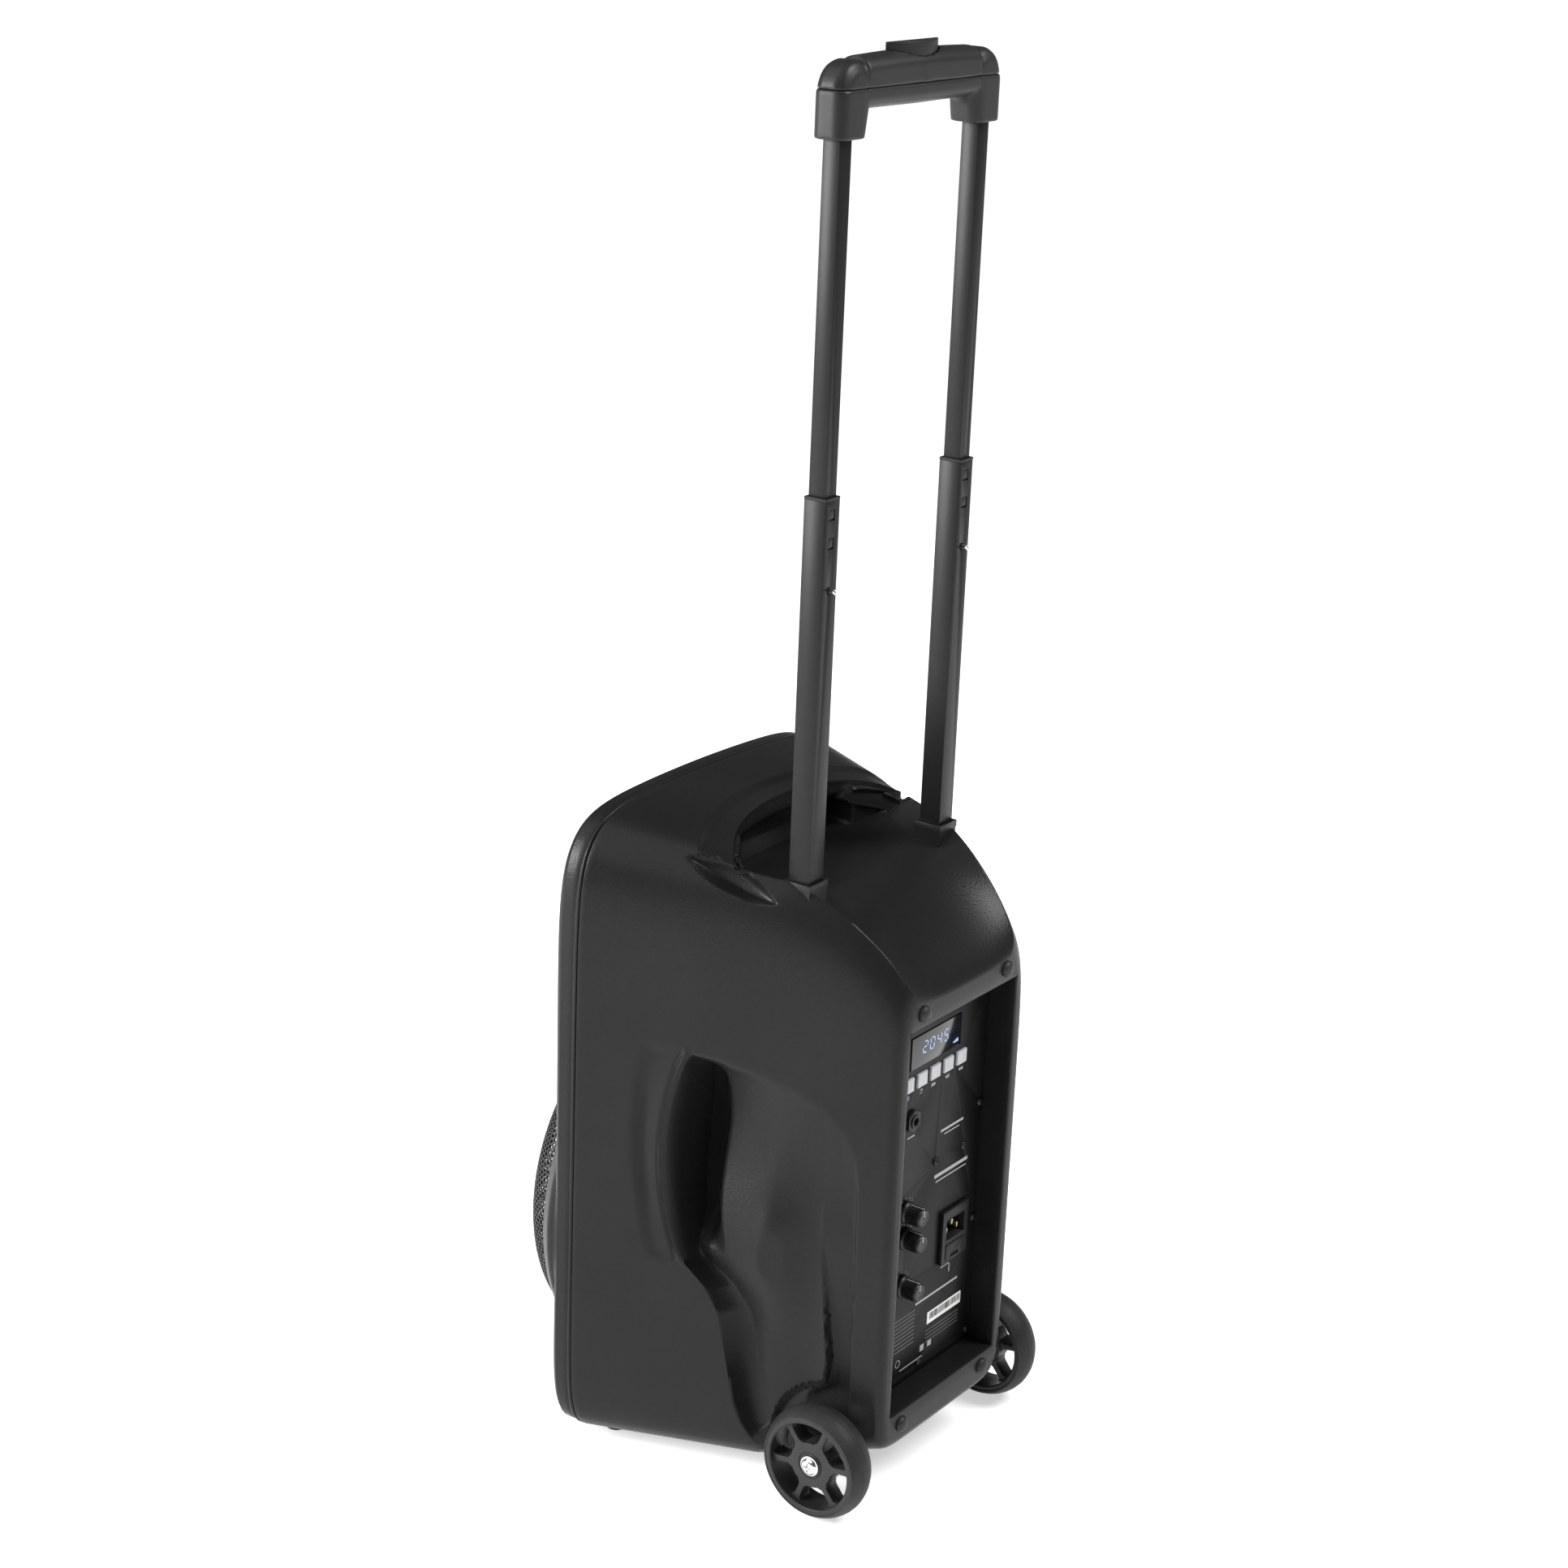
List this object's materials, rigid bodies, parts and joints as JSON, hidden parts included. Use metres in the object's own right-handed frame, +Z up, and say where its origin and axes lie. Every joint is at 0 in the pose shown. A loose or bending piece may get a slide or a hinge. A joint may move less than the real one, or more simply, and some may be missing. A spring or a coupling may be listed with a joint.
{
  "type": "party speaker",
  "caption": "Portable battery party speaker: two-shell moulded cabinet with a domed woofer grille, recessed rear control panel, side grips, wheels and a telescopic trolley handle.",
  "frame": {"origin": "on the ground, at the middle of the width and depth", "axes": "+Z up, the woofer grille faces -Y, the control panel faces +Y, +X is to the right of someone facing the grille from behind the cabinet"},
  "size_m": [0.311, 0.3134, 1.0154],
  "materials": {
    "shell_plastic": "fine pebble grain, soft sheen",
    "inner_plastic": "smooth satin",
    "grille_mesh": "perforated sheet, powder coated satin",
    "light_lens": "milky diffuser",
    "stamped_steel": "satin",
    "foam_rubber": "matte",
    "paper_cone": "pressed pulp, matte",
    "ferrite": "dull sintered magnet with plated plates",
    "black_screws": "black oxide",
    "bumper_rubber": "matte",
    "panel_metal": "smooth satin powder coat with printed white marks",
    "circuit_board": "solder mask",
    "raw_aluminium": "extruded, plain",
    "battery_case": "moulded",
    "zinc_steel": "zinc plated",
    "display_window": "dark window with pale blue figures",
    "pin_brass": "nickel plated",
    "label_film": "paper-like film",
    "key_rubber": "silicone, matte",
    "knob_plastic": "satin, white pointer",
    "tube_steel": "satin powder coat",
    "chromed_steel": "bright",
    "grip_plastic": "fine satin",
    "wheel_plastic": "satin moulded",
    "tyre_rubber": "scuffed matte"
  },
  "bodies": {
    "cabinet": {"rear_shell": "shell_plastic", "front_shell": "shell_plastic", "handle_cup": "inner_plastic", "woofer_grille": "grille_mesh", "light_ring": "light_lens", "woofer_basket": "stamped_steel", "woofer_surround": "foam_rubber", "woofer_magnet": "ferrite", "tweeter_horn": "inner_plastic", "tweeter_driver": "ferrite", "shell_screws": "black_screws", "front_feet": "bumper_rubber", "back_bumpers": "bumper_rubber", "amp_panel": "panel_metal", "panel_screws": "black_screws", "amp_board": "circuit_board", "heat_sink": "raw_aluminium", "power_supply": "raw_aluminium", "battery": "battery_case", "battery_strap": "zinc_steel", "display_module": "display_window", "mic_jack": "inner_plastic", "mains_inlet": "inner_plastic", "inlet_pins": "pin_brass", "switch_bezel": "inner_plastic", "potentiometers": "zinc_steel", "label_plate": "label_film", "socket_left": "inner_plastic", "socket_right": "inner_plastic", "guide_tube_left": "zinc_steel", "guide_tube_right": "zinc_steel", "wheel_screw_left": "chromed_steel", "wheel_screw_right": "chromed_steel"},
    "trolley_mid": {"mid_tube_left": "tube_steel", "mid_tube_right": "tube_steel", "collar_left": "inner_plastic", "collar_right": "inner_plastic"},
    "trolley_upper": {"upper_tube_left": "tube_steel", "upper_tube_right": "tube_steel", "grip_lower": "grip_plastic", "grip_cover": "grip_plastic", "lock_pins": "chromed_steel"},
    "release": {"release_button": "grip_plastic", "push_rods": "zinc_steel"},
    "wheel_l": {"wheel_left": "wheel_plastic", "tyre_left": "tyre_rubber"},
    "wheel_r": {"wheel_right": "wheel_plastic", "tyre_right": "tyre_rubber"},
    "cone": {"woofer_cone": "paper_cone", "dust_cap": "paper_cone"},
    "fuse": {"fuse_drawer": "inner_plastic"},
    "rocker": {"power_rocker": "inner_plastic"},
    "knob_mic": {"mic_knob": "knob_plastic"},
    "knob_echo": {"echo_knob": "knob_plastic"},
    "knob_volume": {"volume_knob": "knob_plastic"},
    "key_mode": {"mode_key": "key_rubber"},
    "key_repeat": {"repeat_key": "key_rubber"},
    "key_previous": {"previous_key": "key_rubber"},
    "key_play": {"play_key": "key_rubber"},
    "key_next": {"next_key": "key_rubber"}
  },
  "joints": [
    {"name": "mid_slide", "type": "slide", "parent": "cabinet", "child": "trolley_mid", "axis": [0, 0, -1], "range_m": [0, 0.254], "deforming": ["lock_pins"]},
    {"name": "upper_slide", "type": "slide", "parent": "trolley_mid", "child": "trolley_upper", "axis": [0, 0, -1], "range_m": [0, 0.2295], "deforming": ["lock_pins"]},
    {"name": "release_press", "type": "slide", "parent": "trolley_upper", "child": "release", "axis": [0, 0, -1], "range_m": [0, 0.004], "stiffness_N_per_m": 600, "springref_m": -0.004},
    {"name": "wheel_spin_l", "type": "hinge", "parent": "cabinet", "child": "wheel_l", "pos_m": [-0.112, 0.1145, 0.0422], "axis": [1, 0, 0], "continuous": true},
    {"name": "wheel_spin_r", "type": "hinge", "parent": "cabinet", "child": "wheel_r", "pos_m": [0.112, 0.1145, 0.0422], "axis": [1, 0, 0], "continuous": true},
    {"name": "cone_travel", "type": "slide", "parent": "cabinet", "child": "cone", "axis": [0, 1, 0], "range_m": [-0.004, 0.004], "stiffness_N_per_m": 2500, "deforming": ["woofer_surround"]},
    {"name": "fuse_pull", "type": "slide", "parent": "cabinet", "child": "fuse", "axis": [0, 1, 0], "range_m": [0, 0.012]},
    {"name": "rocker_tip", "type": "hinge", "parent": "cabinet", "child": "rocker", "pos_m": [0.054, 0.1199, 0.228], "axis": [1, 0, 0], "range_deg": [-22, 0]},
    {"name": "mic_turn", "type": "hinge", "parent": "cabinet", "child": "knob_mic", "pos_m": [0.029, 0.1303, 0.2087], "axis": [0, -1, 0], "range_deg": [-150, 150]},
    {"name": "echo_turn", "type": "hinge", "parent": "cabinet", "child": "knob_echo", "pos_m": [0.029, 0.1303, 0.1883], "axis": [0, -1, 0], "range_deg": [-150, 150]},
    {"name": "volume_turn", "type": "hinge", "parent": "cabinet", "child": "knob_volume", "pos_m": [0.029, 0.1303, 0.1498], "axis": [0, -1, 0], "range_deg": [-150, 150]},
    {"name": "mode_press", "type": "slide", "parent": "cabinet", "child": "key_mode", "axis": [0, -1, 0], "range_m": [0, 0.0012], "stiffness_N_per_m": 300, "springref_m": -0.001},
    {"name": "repeat_press", "type": "slide", "parent": "cabinet", "child": "key_repeat", "axis": [0, -1, 0], "range_m": [0, 0.0012], "stiffness_N_per_m": 300, "springref_m": -0.001},
    {"name": "previous_press", "type": "slide", "parent": "cabinet", "child": "key_previous", "axis": [0, -1, 0], "range_m": [0, 0.0012], "stiffness_N_per_m": 300, "springref_m": -0.001},
    {"name": "play_press", "type": "slide", "parent": "cabinet", "child": "key_play", "axis": [0, -1, 0], "range_m": [0, 0.0012], "stiffness_N_per_m": 300, "springref_m": -0.001},
    {"name": "next_press", "type": "slide", "parent": "cabinet", "child": "key_next", "axis": [0, -1, 0], "range_m": [0, 0.0012], "stiffness_N_per_m": 300, "springref_m": -0.001}
  ]
}
